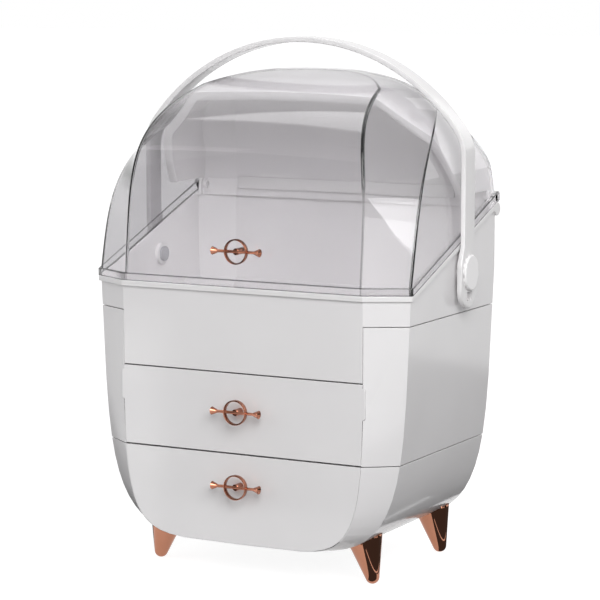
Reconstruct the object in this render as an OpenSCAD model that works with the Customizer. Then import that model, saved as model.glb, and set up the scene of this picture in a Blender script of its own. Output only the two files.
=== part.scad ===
// Makeup organizer: an egg-shaped cabinet with two drawers, a clear tip-up
// dust cover over an open compartment, a fixed rear hood, a carry handle and four feet.
// The frame: +Z up, front at -Y, the origin on the ground under the middle.

/* [Cabinet] */
// Width across the two sides at the rim
body_w = 314; // [300:2:330]
// Depth from the front face to the rear face
body_d = 208; // [196:2:224]
// Height of the upper housing below the front rim
housing_h = 33.5; // [30:0.5:40]
// Height of the middle casing
middle_h = 122; // [112:1:134]
// Height of the lower casing down to the underside
lower_h = 84.5; // [78:0.5:96]
// Width of the flat front face between the corner facets
face_w = 241; // [228:1:250]
// Depth of the corner facets from front to back
facet_d = 20; // [17:0.5:24]
// Depth of the rear corner facets from front to back
rear_facet_d = 14; // [13:0.5:20]
// How far each side leans in from the rim to the underside
side_lean = 10; // [6:0.5:14]
// Roundness of the cabinet's side outline, more is squarer
side_curve = 5; // [4:0.25:7]
// Roundness of the front face's outline, more is squarer
face_curve = 6; // [5:0.25:8]
// How far the front face ends above the underside
face_rise = 3; // [2.5:0.25:5]
// Wall thickness of the casings
wall = 2.6; // [2:0.1:3.2]
// Visible gap between neighbouring casings and drawer fronts
reveal = 0.8; // [0.5:0.1:1.2]
// Gap between the upper housing's tub and the middle casing
tub_gap = 0.6; // [0.4:0.1:1]
// Height of the front apron below the upper housing
apron_h = 49.5; // [42:0.5:56]

/* [Rim] */
// Slope of the rim along the sides, in degrees
rim_slope = 21.1; // [18:0.1:23]
// Thickness of the cover's base flange
flange_t = 7; // [5:0.5:9]
// How far the flange stands outside the cabinet
flange_out = 2; // [1:0.25:2.5]
// Height of the ledge under the flange
ledge_h = 4.8; // [3:0.2:6]
// Radius of the ledge's rear ends
lug_r = 6; // [5:0.25:7]

/* [Dust cover] */
// Height of the cover's crest above the front rim
cover_h = 180; // [168:1:192]
// Rise of the crest over the roof's side edges
crown = 13; // [8:0.5:18]
// Wall thickness of the cover
cover_wall = 2.5; // [2:0.1:3]
// How far the front facet is narrower than the cabinet's front face, each side
front_inset = 2.5; // [1:0.25:4]
// Roundness of the arch seen from the front, more is squarer
arch_curve = 3.6; // [3.2:0.1:4]
// How far each front edge moves in towards the crest
edge_taper = 24; // [16:1:30]
// Lean of the cover's front, in degrees
front_lean = 5.2; // [3:0.1:7]
// How far the front's brow turns back below the crest
brow_back = 118; // [100:2:125]
// Lean of the side edges, in degrees
side_edge_lean = 12.4; // [9:0.2:15]
// How far the side edges turn back below the crest
side_edge_back = 160; // [110:2:140]
// Height above the rim at which the rear side edges start to turn forward
rear_turn_h = 81; // [76:0.5:84]
// Radius of that turn
rear_turn_r = 30; // [24:1:34]
// Distance of the rear side edges in front of the rear face
rear_edge_inset = 9.5; // [9:0.25:13]
// Roundness of the cover's rear, more is squarer
rear_curve = 4; // [3.5:0.25:6]
// Distance of the crest in front of the rear face
crest_inset = 66; // [60:1:76]
// Distance of the hinge axis in front of the rear face
hinge_inset = 12.5; // [11:0.5:15]
// Radius of the hinge ears
ear_r = 5; // [4.5:0.25:6]
// Diameter of the hinge pins
hinge_pin_d = 4; // [3.5:0.25:5]
// Thickness of the ears' outer skin over the pins' ends
ear_skin = 1.5; // [1:0.25:2]
// Length of the bosses inside the cover that hold the hinge pins
hinge_boss_l = 8; // [6:0.5:10]
// Thickness of the deck behind the hinges
deck_t = 6; // [4:0.5:8]

/* [Rear hood] */
// Gap between the cover and the hood inside it
hood_gap = 1.5; // [1:0.1:2.5]
// Wall thickness of the hood
hood_wall = 2.5; // [2:0.1:3]
// Depth of the rim along the hood's front edge
hood_rim = 7; // [5:0.5:9]
// Height of the hood's lower edge above the rim's rear end
hood_seam_up = 2.3; // [2:0.1:6]
// Height of the lip with which the hood drops into the rim behind it
hood_lip = 9; // [8:0.5:11]
// Distance of the lip's ends inside the front face's edges
hood_lip_inset = 8; // [6:0.5:12]
// Distance between the outer two hood screws
hood_screw_span = 160; // [130:1:180]
// Distance of the hood's front edge behind the front face, at its lower edge
hood_reach = 134; // [125:1:150]
// Forward lean of the hood's front edge, in degrees
hood_lean = 33; // [26:1:36]

/* [Carry handle] */
// Outer radius of the handle's arch
arch_r = 197; // [192:1:204]
// Height of the handle's top above the front rim
handle_rise = 209; // [203:1:220]
// Thickness of the handle strap
strap_t = 4.9; // [4:0.1:6]
// Width of the handle strap
strap_w = 20; // [16:1:24]
// Chamfer along the strap's edges
strap_edge = 0.8; // [0.5:0.1:1.2]
// Gap between the cover's flange and the handle
handle_gap = 1.3; // [1:0.1:2]
// Radius of the bend from the arch to the arms
shoulder_r = 40; // [34:1:46]
// Distance of the handle's pivot behind the front face
pivot_back = 121.5; // [114:0.5:128]
// Height of the handle's pivot above the front rim
pivot_up = 3; // [0:0.5:5]
// Width of the handle's lower ends
paddle_w = 34; // [30:1:38]
// Length of the handle's lower ends below the pivot
paddle_drop = 32; // [29:1:36]
// Height of the middle of the paddle's neck above the pivot
paddle_neck = 20; // [17:0.5:22]
// Width of the window below the cap
window_w = 10; // [8:0.5:12]
// Height of that window
window_h = 8; // [6:0.5:9]
// Diameter of the pivot pins
pivot_d = 8; // [7:0.5:10]
// Diameter of the pivot pins' heads
pivot_head_d = 14; // [12:0.5:16]
// Thickness of the pivot pins' heads
pivot_head_t = 2; // [1.5:0.1:2.5]
// Diameter of the bosses in which the pivot pins turn
pivot_boss_d = 20; // [18:0.5:22]
// Width of the pivot caps
cap_w = 27; // [24:0.5:28]
// Height of the pivot caps
cap_h = 32; // [28:0.5:34]
// Thickness of the pivot caps
cap_t = 2.8; // [2:0.1:4]
// Chamfer round the pivot caps
cap_edge = 1; // [0.6:0.1:1.4]

/* [Drawers] */
// Thickness of the drawer fronts
front_t = 4; // [3.5:0.1:5]
// Material left in a drawer's front before the screw holes
front_skin = 1; // [0.8:0.1:1.5]
// Width of the pill-shaped tabs on the side edges of the middle drawer's front
tab_w = 4; // [3:0.25:5]
// Height of those tabs
tab_h = 27.5; // [22:0.5:32]
// Distance of those tabs below the drawer's top edge
tab_down = 3.5; // [2.5:0.25:6]
// Wall thickness of the drawer trays
tray_wall = 2; // [1.5:0.1:2.5]
// Depth of the drawer trays behind their fronts
tray_d = 180; // [160:1:184]
// Height of the middle tray's walls
middle_tray_h = 52; // [44:1:56]
// Height from the lower tray's floor to its top edge
lower_tray_h = 66; // [56:1:68]
// Thickness of the guide walls beside the drawers
guide_t = 2; // [1.5:0.1:2.5]
// Distance of the guides inside the front face's edges
guide_inset = 2.5; // [2:0.25:3.5]
// Gap between a drawer's front and the guides behind it
guide_back = 2; // [1:0.25:3]
// Thickness of the rails under the lower drawer
rail_t = 3; // [2:0.25:4]
// Gap between a drawer tray and its guide walls
slide_gap = 0.6; // [0.4:0.1:1]

/* [Pulls] */
// Outer diameter of the pull's ring
ring_d = 22.5; // [20:0.5:26]
// Wall thickness of the ring
ring_wall = 1.3; // [1.1:0.1:1.8]
// Depth of the ring from front to back
ring_depth = 4; // [3.75:0.25:5]
// Length of the pull's bar
bar_l = 47.5; // [42:0.5:54]
// Diameter of the pull's bar
bar_d = 2.7; // [2.4:0.1:3.2]
// Diameter of the flared ends of the bar
flare_d = 7.5; // [6:0.25:9]
// Length of each flared end
flare_l = 5.5; // [4:0.5:7]
// Distance from the face to the front of the ring
pull_out = 13; // [11:0.5:16]
// Diameter of the stem that carries the bar
stem_d = 6; // [5:0.25:7]
// Height of the middle pull above the middle casing's lower edge
middle_pull_up = 39; // [34:1:42]
// Depth of the lower pull below the lower casing's upper edge
lower_pull_down = 28; // [22:1:34]
// Height of the cover's pull above the front rim
cover_pull_up = 25.5; // [20:0.5:34]

/* [Feet] */
// Clear height under the cabinet
foot_h = 28.6; // [24:0.2:34]
// Distance of the feet's tips inside the sides of the front face
foot_inset = 11.5; // [8:0.5:16]
// Distance of the front feet behind the front face
front_foot_back = 43.5; // [38:0.5:50]
// Distance of the rear feet in front of the rear face
rear_foot_inset = 25; // [22:0.5:30]
// Radius of a foot's tip
foot_tip_r = 6.3; // [5:0.1:8]
// Radius of the flat pad under a tip
foot_pad_r = 1.8; // [1.5:0.1:2.5]
// Angle between a foot's axis and its side, in degrees
foot_taper = 15.2; // [13:0.2:17]
// Outward lean of the feet, in degrees
foot_lean = 12.8; // [10:0.2:15]
// Gap between the foot screws' heads and the tray above them
foot_screw_gap = 2; // [1.5:0.25:3]
// Depth to which the foot screws reach below the underside
foot_screw_reach = 5; // [4:0.5:7]

/* [Screws] */
// Shank diameter of the screws
screw_d = 3; // [2.5:0.1:3.5]
// Head diameter of the screws
screw_head_d = 6; // [5:0.25:7]
// Head height of the screws
screw_head_h = 1.8; // [1.4:0.1:2.4]
// Radial clearance round a screw shank
screw_gap = 0.2; // [0.15:0.05:0.4]
// Wall of the posts beyond the screw heads' radius
post_wall = 1; // [0.8:0.1:1.5]
// Space left under the tips of the casing screws
screw_short = 2; // [1.5:0.25:3]
// Radial clearance round a pin
pin_gap = 0.05; // [0.03:0.01:0.08]
// Depth of the screw holes in the casings' posts
post_depth = 12; // [9:0.5:14]
// Distance of the posts behind the front corner facets
post_back = 32; // [26:1:40]
// Distance of the posts in front of the rear corner facets
post_fore = 28; // [22:1:36]

/* [Hidden] */

$fn = 48;
skin = 0.02;
far = 400;
touch = 0.3;
front_y = (pull_out - body_d) / 2;
rear_y = front_y + body_d;
belly_h = lower_h + middle_h + housing_h;
seam_low = foot_h + lower_h;
seam_up = seam_low + middle_h;
rim_z = seam_up + housing_h;
drawer_top = seam_up - apron_h;
face_fit = reveal / 4;
facet_x = (body_w - face_w) / 2;
slope_y = front_y + facet_d;
rear_slope_y = rear_y - rear_facet_d;
hinge_y = rear_y - hinge_inset;
rise = (hinge_y - slope_y) * tan(rim_slope);
hinge_z = rim_z + rise - flange_t / 2;
pivot_y = front_y + pivot_back;
pivot_z = rim_z + pivot_up;
flange_rear_t = flange_t / 2 + ear_r;
rear_rim_z = rim_z + rise - flange_rear_t;
hood_z = rim_z + rise + hood_seam_up;
hood_in = cover_wall + hood_gap;
tub_in = wall + tub_gap;
flange_half = body_w / 2 + flange_out;
boss_in = tub_in + wall;
edge_blunt = 0.4;
over = 1;
white = [0.93, 0.93, 0.94];
rose_gold = [0.80, 0.50, 0.40];
steel = [0.62, 0.63, 0.65];
smoke = [0.70, 0.71, 0.73, 0.35];

// How far the two edges of a facet of depth d move when all walls move in by i
function facet_l(d) = sqrt(facet_x * facet_x + d * d);
function face_in(i, d) = i * (facet_l(d) - facet_x) / d;
function side_in(i, d) = i * (facet_l(d) - d) / facet_x;
function curve(s, n) = pow(1 - pow(s, n), 1 / n);

// ---- Cabinet form ----

// Outline of the cabinet seen from the front: straight above the rim, a superellipse below
function belly_outline(w, h, n, lean) =
  let (steps = 14,
       half = [for (i = [0 : steps]) let (a = 90 * i / steps,
                 s = pow(sin(a), 2 / n), c = pow(cos(a), 2 / n)) [(w / 2 - lean * s) * c, -h * s]])
  concat([[w / 2, cover_h]], half, [for (i = [steps - 1 : -1 : 0]) [-half[i][0], half[i][1]]],
         [[-w / 2, cover_h]]);
function side_outline(i) = belly_outline(body_w - 2 * i, belly_h - i, side_curve, side_lean);
function face_outline(i) =
  belly_outline(face_w - 2 * i, belly_h - face_rise - i, face_curve, 0);

// Prism of an outline from y0 to y1
module prism(points, y0, y1)
  translate([0, y1, rim_z]) rotate([90, 0, 0]) linear_extrude(y1 - y0) polygon(points);

// Solid through a row of loops, closed by fans about a first and a last middle point. The quads
// are split one way on the right half of the loops and the other way on the left, so both match.
module loft(loops, first, last) {
  n = len(loops[0]);
  top = (len(loops) - 1) * n;
  polyhedron(convexity = 4, points = concat([for (loop = loops) each loop], [first, last]),
    faces = concat(
      [for (k = [0 : n - 1]) [k, (k + 1) % n, top + n]],
      [for (j = [0 : len(loops) - 2], k = [0 : n - 1])
        let (m = (k + 1) % n, a = j * n + k, b = (j + 1) * n + k, c = (j + 1) * n + m, d = j * n + m)
        each k < n / 2 ? [[a, b, d], [b, c, d]] : [[a, b, c], [a, c, d]]],
      [for (k = [0 : n - 1]) [top + (k + 1) % n, top + k, top + n + 1]]));
}

// The cabinet's outer form, moved in by i on all sides
module belly(i = 0) {
  front = belly_outline(face_w - 2 * face_in(i, facet_d), belly_h - face_rise - i, face_curve, 0);
  back = belly_outline(face_w - 2 * face_in(i, rear_facet_d), belly_h - face_rise - i, face_curve, 0);
  side = side_outline(i);
  sections = [
    [front, front_y + i],
    [side, front_y + facet_d + side_in(i, facet_d)],
    [side, rear_y - rear_facet_d - side_in(i, rear_facet_d)],
    [back, rear_y - i]];
  loft([for (q = sections) [for (p = q[0]) [p[0], q[1], rim_z + p[1]]]],
       [0, front_y + i, rim_z], [0, rear_y - i, rim_z]);
}

// Everything between two heights
module level(z0, z1) translate([-far, -far, z0]) cube([2 * far, 2 * far, z1 - z0]);

// Everything that lies under the rim surface, lowered by drop at the front and by rear_drop at the hinges
module rim_under(drop, rear_drop)
  rotate([90, 0, 90]) linear_extrude(2 * far, center = true) polygon([
    [front_y - far, 0], [front_y - far, rim_z - drop], [slope_y, rim_z - drop],
    [hinge_y, rim_z + rise - rear_drop], [rear_y + far, rim_z + rise - rear_drop], [rear_y + far, 0]
  ]);
// Everything under the cover's flange, lowered by drop
module flange_under(drop = 0) rim_under(flange_t + drop, flange_rear_t + drop);

// Places children on the hinge axis or the handle's pivot axis, with +Z outward on side s
module on_hinge(s) translate([0, hinge_y, hinge_z]) rotate([0, s * 90, 0]) children();
module on_pivot(s) translate([0, pivot_y, pivot_z]) rotate([0, s * 90, 0]) children();

// Everything behind y
module behind(y) translate([-far, y, -far]) cube([2 * far, far, 4 * far]);

// ---- Cover form ----

// Points from p up to but not including q, in n equal steps
function spread(p, q, n) = [for (k = [0 : n - 1]) p + (q - p) * k / n];

// Right half of one level of the cover's form, from the front middle to the rear middle.
// s is the share of the height below the crown, and i moves the walls in.
function dome_half(s, i) =
  let (z = s * (cover_h - crown),
       w = (body_w / 2 - i) * curve(s, arch_curve),
       edge = face_w / 2 - front_inset - edge_taper * pow(s / 0.915, 4.3),
       af = min(edge - face_in(i, facet_d), 0.93 * w),
       ar = min(edge - face_in(i, rear_edge_inset), 0.93 * w),
       crest_y = rear_y - crest_inset,
       yf = min(front_y + i + z * tan(front_lean) + brow_back * pow(s, 7.9), crest_y - 6),
       yr = max(rear_y - i - (crest_inset - 2) * pow(s, rear_curve), crest_y + 6),
       ys = min(slope_y + side_in(i, facet_d) + z * tan(side_edge_lean)
                + side_edge_back * pow(s, 3.9), crest_y - 2),
       turn = max(0, z - rear_turn_h),
       fall = turn < rear_turn_r ? turn * turn / (2 * rear_turn_r) : turn - rear_turn_r / 2,
       ye = max(rear_y - rear_edge_inset - side_in(i, rear_edge_inset) - fall, crest_y + 2))
  concat(spread([0, yf], [af, yf], 3), spread([af, yf], [w, min(ys, ye - 3)], 3),
         [[w, min(ys, ye - 3)]], spread([w, ye], [ar, yr], 2), spread([ar, yr], [0, yr], 3), [[0, yr]]);
function dome_loop(s, i) =
  let (h = dome_half(s, i), n = len(h))
  concat(h, [for (k = [n - 2 : -1 : 1]) [-h[k][0], h[k][1]]]);

// Where the form's rear face lies at the height z above the rim
function rear_face(z, i) =
  rear_y - i - (crest_inset - 2) * pow(z / (cover_h - crown - i), rear_curve);

// The cover's closed form, with its walls moved in by i
module dome(i = 0) {
  steps = 14;
  base = flange_rear_t + ledge_h;
  level_h = cover_h - crown - i;
  rings = concat(
    [[for (p = dome_loop(0, i)) [p[0], p[1], rim_z - base]]],
    [for (j = [0 : steps]) let (s = 0.997 * sin(90 * j / steps))
      [for (p = dome_loop(s, i)) [p[0], p[1],
        rim_z + s * level_h + crown * pow(s, 3) * (1 - pow(2 * p[0] / body_w, 2))]]]
  );
  loft(rings, [0, (front_y + rear_y) / 2, rim_z - base], [0, rear_y - crest_inset, rim_z + cover_h - i]);
}

// ---- Screws ----

// A pan-head screw along +Z with its head's underside at the origin and its tip at -l
module screw(l) {
  cylinder(h = screw_head_h, d = screw_head_d);
  translate([0, 0, -l]) cylinder(h = l, d = screw_d);
}
// The hole for it, drawn from z0 to z1
module screw_hole(z0, z1) translate([0, 0, z0]) cylinder(h = z1 - z0, d = screw_d + 2 * screw_gap);

// ---- Places ----

// Half width of the cabinet at the height z, moved in by i
function half_at(z, i) =
  let (s = (rim_z - z) / (belly_h - i)) (body_w / 2 - i - side_lean * s) * curve(s, side_curve);

guide_x = face_w / 2 - guide_t - guide_inset;
guide_y = front_y + front_t + guide_back;
guide_l = rear_y - wall / 2 - guide_y;
tray_half = guide_x - slide_gap;
tray_in = face_w / 2 - tray_half;

// Height of the lower tray's underside at x from the middle
function tray_under(x) =
  rim_z - (belly_h - face_rise - tray_in) * curve(min(1, x / tray_half), face_curve);

post_r = screw_head_d / 2 + post_wall;
post_x = half_at(seam_low - post_depth, wall) - post_r;
posts = [for (sx = [-1, 1], y = [slope_y + post_back, rear_slope_y - post_fore]) [sx * post_x, y]];
feet = [for (sx = [-1, 1], y = [front_y + front_foot_back, rear_y - rear_foot_inset])
        [sx * (face_w / 2 - foot_inset), y, sx]];
foot_screw_in = (foot_h - foot_tip_r) * tan(foot_lean);
foot_screw_x = face_w / 2 - foot_inset - foot_screw_in;
foot_seat_z = tray_under(foot_screw_x - screw_head_d / 2) - foot_screw_gap - screw_head_h;
foot_l = foot_seat_z + foot_screw_reach;

// Takes the knife edge off a casing's front
module blunt_edge() translate([-far, front_y - over, 0]) cube([2 * far, over + edge_blunt, 2 * far]);

// Wall beside a drawer, from z0 to z1
module guide_walls(z0, z1) for (s = [-1, 1])
  translate([s * (guide_x + guide_t / 2) - guide_t / 2, guide_y, z0]) cube([guide_t, guide_l, z1 - z0]);

// Prism with a pill-shaped outline of width w and height h
module pill(w, h, l) linear_extrude(l) hull()
  for (e = [-1, 1]) translate([0, e * (h - w) / 2]) circle(d = w);

// Pill-shaped tabs beside the middle drawer's front, grown by gap
module tabs(gap, l) for (s = [-1, 1])
  translate([s * face_w / 2, front_y + l, drawer_top - reveal - tab_down - tab_h / 2]) rotate([90, 0, 0])
    pill(tab_w + 2 * gap, tab_h + 2 * gap, l + gap);

// ---- Lower casing ----

module lower_casing() color(white) {
  difference() {
    union() {
      difference() {
        intersection() { belly(); level(0, seam_low - reveal); }
        belly(wall);
        prism(face_outline(-face_fit), front_y - over, slope_y);
        blunt_edge();
      }
      intersection() {
        belly(wall / 2);
        union() {
          guide_walls(foot_h, seam_low);
          // rails under the drawer
          for (s = [-1, 1]) translate([s * face_w / 4 - rail_t / 2, guide_y, foot_h])
            cube([rail_t, tray_d, lower_tray_z - foot_h - slide_gap / 2]);
          // posts for the casing screws, seats for the foot screws
          for (p = posts) translate([p[0], p[1], foot_h]) cylinder(h = lower_h, r = post_r);
          for (f = feet) translate([f[0] - f[2] * foot_screw_in, f[1], foot_h])
            cylinder(h = foot_seat_z - foot_h, r = post_r);
        }
        level(0, seam_low);
      }
    }
    for (p = posts) translate([p[0], p[1], seam_low]) screw_hole(-post_depth, over);
    for (f = feet) translate([f[0] - f[2] * foot_screw_in, f[1], foot_seat_z]) {
      screw_hole(-foot_l, over);
      cylinder(h = 2 * screw_head_h, r = screw_head_d / 2 + screw_gap);
    }
  }
}

// ---- Middle casing ----

module middle_casing() color(white) {
  floor_z = seam_low + wall;
  difference() {
    union() {
      difference() {
        intersection() { belly(); level(seam_low, seam_up - reveal); }
        intersection() { belly(wall); level(floor_z, far * 2); }
        intersection() {
          prism(face_outline(-face_fit), front_y - over, slope_y);
          union() {
            level(floor_z, far * 2);
            translate([-far, front_y - far, 0]) cube([2 * far, far + front_t + touch, 2 * far]);
          }
        }
        tabs(face_fit, front_t + touch);
        blunt_edge();
      }
      // guide walls beside the drawer, which also carry the housing's tub, and posts for the screws
      intersection() {
        belly(wall / 2);
        union() {
          guide_walls(seam_low, drawer_top);
          for (p = posts) translate([p[0], p[1], seam_low])
            cylinder(h = drawer_top - seam_low, r = post_r + wall);
        }
      }
    }
    for (p = posts) translate([p[0], p[1], seam_low]) {
      screw_hole(-over, wall + over);
      translate([0, 0, wall]) cylinder(h = middle_h - apron_h - post_depth - 2 * wall, r = post_r);
      translate([0, 0, drawer_top - seam_low]) screw_hole(-post_depth, over);
    }
  }
}

// ---- Upper housing ----

module upper_housing() color(white) {
  tub_z = drawer_top;
  difference() {
    union() {
      // outer ring above the seam
      intersection() { belly(); flange_under(touch); level(seam_up, far * 2); }
      // tub that hangs inside the middle casing
      intersection() { belly(tub_in); level(tub_z, seam_up + wall); }
      // apron, flush with the front face
      intersection() {
        prism(face_outline(face_fit), front_y, front_y + tub_in + wall);
        level(tub_z + reveal / 2, seam_up + wall);
      }
      // ledge under the cover's flange, with round lugs at its rear ends
      intersection() {
        belly(-flange_out);
        difference() { flange_under(touch); flange_under(ledge_h); }
        translate([-far, front_y - far, 0]) cube([2 * far, far + hinge_y - front_y, far * 2]);
      }
      intersection() {
        flange_under(touch);
        for (s = [-1, 1]) on_hinge(s) translate([s * (ear_r + touch + lug_r), 0, body_w / 2 - boss_in])
          cylinder(h = boss_in + flange_out, r = lug_r);
      }
      pivot_bosses();
    }
    // the open inside
    intersection() { belly(boss_in); level(tub_z + wall, far * 2); }
    difference() {
      intersection() { belly(wall); level(seam_up + wall, far * 2); }
      pivot_bosses();
    }
    for (s = [-1, 1]) on_pivot(s) translate([0, 0, body_w / 2 - boss_in - over])
      cylinder(h = boss_in + flange_out + 2 * over + touch, d = pivot_d + 2 * pin_gap);
    for (p = posts) translate([p[0], p[1], tub_z]) {
      screw_hole(-over, wall + over);
      translate([0, 0, wall]) cylinder(h = 2 * screw_head_h, r = screw_head_d / 2 + screw_gap);
    }
    ear_room();
  }
  rear_upstand();
}

// Room for the cover's ears and the bores of the hinge pins
module ear_room() for (s = [-1, 1]) on_hinge(s) {
  translate([0, 0, hinge_boss_x - over])
    cylinder(h = hinge_boss_l + 2 * over, d = hinge_pin_d + 2 * pin_gap);
  translate([0, 0, ear_x0 - touch]) cylinder(h = far, r = ear_r + touch);
}

// Bosses for the handle's pivots, through the side walls
module pivot_bosses() for (s = [-1, 1]) on_pivot(s) translate([0, 0, body_w / 2 - boss_in])
  cylinder(h = boss_in + flange_out + handle_gap - touch, d = pivot_boss_d);

// Deck and upstand behind the hinge, which carry the rear hood and the hinge pins
module rear_upstand() difference() {
  union() {
    intersection() {
      union() {
        intersection() { dome(hood_in); level(rear_rim_z - deck_t, hood_z); }
        intersection() { belly(wall / 2); flange_under(); level(rear_rim_z - deck_t, far * 2); }
      }
      behind(hinge_y - ear_r - wall);
    }
    hinge_bosses();
  }
  difference() {
    intersection() { dome(hood_in + hood_wall); level(0, far * 2); }
    hinge_bosses();
  }
  ear_room();
  level(hood_z, far * 2);
  hood_screw_holes();
}
module hinge_bosses() for (s = [-1, 1]) on_hinge(s) translate([0, 0, hinge_boss_x])
  cylinder(h = hinge_boss_l, r = ear_r);

// ---- Rear hood ----

hood_screw_x = [-hood_screw_span / 2, 0, hood_screw_span / 2];
lip_gap = 0.1;
hood_lip_half = face_w / 2 - hood_lip_inset;
hood_screw_z = hood_z - hood_lip / 2;
hood_rear_y = rear_face(hood_z - rim_z, hood_in);
hood_screw_y = rear_face(hood_screw_z - screw_head_d / 2 - rim_z, hood_in);
module hood_screw_holes() for (x = hood_screw_x) translate([x, hood_screw_y, hood_screw_z])
  rotate([-90, 0, 0]) screw_hole(-4 * hood_wall, 4 * hood_wall);

// Everything in the hood's reach: behind its leaning front edge moved back by b, above its lower edge
module hood_reach_zone(b = 0) {
  edge_y = front_y + hood_reach + b / cos(hood_lean);
  rotate([90, 0, 90]) linear_extrude(2 * far, center = true) polygon([
    [edge_y, hood_z], [edge_y - cover_h * tan(hood_lean), hood_z + cover_h],
    [rear_y + far, hood_z + cover_h], [rear_y + far, hood_z]]);
}

module rear_hood() color(white) {
  difference() {
    union() {
      difference() {
        intersection() { dome(hood_in); hood_reach_zone(); }
        dome(hood_in + hood_wall);
      }
      // rim along the front edge
      difference() {
        intersection() { dome(hood_in); hood_reach_zone(); }
        dome(hood_in + hood_rim);
        hood_reach_zone(hood_wall);
      }
      // lip that drops inside the upstand
      translate([-hood_lip_half, hood_rear_y - 2 * hood_wall - lip_gap, hood_z - hood_lip])
        cube([2 * hood_lip_half, hood_wall, hood_lip + hood_wall]);
      translate([-hood_lip_half, hood_rear_y - 1.5 * hood_wall - lip_gap, hood_z])
        cube([2 * hood_lip_half, hood_wall, hood_wall]);
    }
    hood_screw_holes();
  }
}

// ---- Dust cover ----

ear_x0 = body_w / 2 * curve((hinge_z - rim_z) / (cover_h - crown), arch_curve) - cover_wall;
hinge_boss_x = ear_x0 - touch - hinge_boss_l;

module dust_cover() color(smoke) {
  difference() {
    union() {
      difference() {
        union() {
          difference() { dome(); flange_under(); }
          // base flange along the rim
          difference() {
            intersection() { belly(-flange_out); rim_under(0, 0); }
            flange_under();
          }
        }
        dome(cover_wall);
        behind(hinge_y);
      }
      // hinge ears
      for (s = [-1, 1]) on_hinge(s) translate([0, 0, ear_x0]) cylinder(h = flange_half - ear_x0, r = ear_r);
    }
    for (s = [-1, 1]) on_hinge(s) {
      translate([0, 0, ear_x0 - over])
        cylinder(h = flange_half - ear_skin - ear_x0 + over, d = hinge_pin_d + 2 * pin_gap);
      translate([0, 0, hinge_boss_x - hinge_boss_l])
        cylinder(h = ear_x0 - hinge_boss_x + hinge_boss_l, r = ear_r + touch);
    }
    translate([0, front_y, rim_z + cover_pull_up]) rotate([90, 0, 0]) screw_hole(-4 * cover_wall, over);
  }
}

// ---- Hinge and pivot pins ----

module hinge_pin(s) color(white) on_hinge(s) translate([0, 0, hinge_boss_x])
  cylinder(h = flange_half - ear_skin - touch - hinge_boss_x, d = hinge_pin_d);

handle_in = flange_half + handle_gap;
handle_out = handle_in + strap_t;
module handle_pivot(s) color(steel) on_pivot(s) {
  translate([0, 0, body_w / 2 - boss_in])
    cylinder(h = handle_out - pivot_head_t - body_w / 2 + boss_in, d = pivot_d);
  translate([0, 0, handle_out - pivot_head_t - touch]) cylinder(h = pivot_head_t, d = pivot_head_d);
  translate([0, 0, body_w / 2 - boss_in - pivot_head_t]) cylinder(h = pivot_head_t, d = pivot_head_d);
}

// ---- Carry handle ----

// Right half of the strap's middle line, from the top to the pivot, as [x, z, direction outward]
function strap_line() =
  let (r = arch_r - strap_t / 2, x_arm = handle_in + strap_t / 2,
       dx = x_arm - shoulder_r, dz = sqrt(pow(r - shoulder_r, 2) - dx * dx),
       cz = rim_z + handle_rise - arch_r, turn = atan2(dx, dz), steps = 18, bend = 8)
  concat(
    [for (i = [0 : steps]) let (a = turn * i / steps) [r * sin(a), cz + r * cos(a), a]],
    [for (i = [1 : bend]) let (a = turn + (90 - turn) * i / bend)
      [dx + shoulder_r * sin(a), cz + dz + shoulder_r * cos(a), a]],
    [[x_arm, pivot_z, 90]]);

// Loop round the strap's cross-section at one point of its line, on side s
function strap_loop(p, s) =
  let (c = strap_edge, h = strap_t / 2, w = strap_w / 2)
  [for (q = [[h, w - c], [h, c - w], [h - c, -w], [c - h, -w],
             [-h, c - w], [-h, w - c], [c - h, w], [h - c, w]])
    [s * (p[0] + q[0] * sin(p[2])), pivot_y + q[1], p[1] + q[0] * cos(p[2])]];

module carry_handle() color(white) {
  line = strap_line();
  n = len(line);
  end = line[n - 1];
  difference() {
    union() {
      loft(concat([for (i = [n - 1 : -1 : 1]) strap_loop(line[i], -1)], [for (p = line) strap_loop(p, 1)]),
           [-end[0], pivot_y, end[1]], [end[0], pivot_y, end[1]]);
      for (s = [-1, 1]) paddle(s);
    }
    for (s = [-1, 1]) on_pivot(s) {
      translate([0, 0, handle_in - over]) cylinder(h = strap_t + 2 * over, d = pivot_d + 2 * pin_gap);
      translate([0, 0, handle_out - pivot_head_t - 2 * touch])
        cylinder(h = pivot_head_t + 3 * touch, d = pivot_head_d + 2 * touch);
    }
    for (s = [-1, 1]) translate([s * end[0], pivot_y, pivot_z - cap_h / 2 - window_h / 2 - cap_edge])
      cube([2 * strap_t, window_w, window_h], center = true);
  }
}

// Outline of the handle's rounded lower end, moved in by i
module paddle_outline(i) hull() {
  translate([0, paddle_neck]) square([strap_w - 2 * i, strap_w / 2 - 2 * i], center = true);
  for (y = [strap_w / 4, paddle_w / 2 - paddle_drop]) translate([0, y]) circle(d = paddle_w - 2 * i);
}
module paddle(s) translate([s * handle_in, pivot_y, pivot_z]) rotate([90, 0, s * 90]) hull() {
  linear_extrude(strap_t) paddle_outline(strap_edge);
  translate([0, 0, strap_edge]) linear_extrude(strap_t - 2 * strap_edge) paddle_outline(0);
}

module pivot_cap(s) color(white)
  translate([s * handle_out, pivot_y, pivot_z]) rotate([90, 0, s * 90]) hull() {
    pill(cap_w - 2 * cap_edge, cap_h - 2 * cap_edge, cap_t);
    pill(cap_w, cap_h, cap_t - cap_edge);
  }

// ---- Drawers ----

lower_tray_z = foot_h + face_rise + tray_in;

module middle_drawer_front() color(white) {
  difference() {
    union() {
      intersection() {
        prism(face_outline(face_fit), front_y, front_y + front_t);
        level(seam_low + reveal, drawer_top - reveal);
      }
      tabs(0, front_t);
    }
    pull_hole(seam_low + middle_pull_up);
    front_screw_holes(seam_low + middle_pull_up);
  }
}

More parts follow.
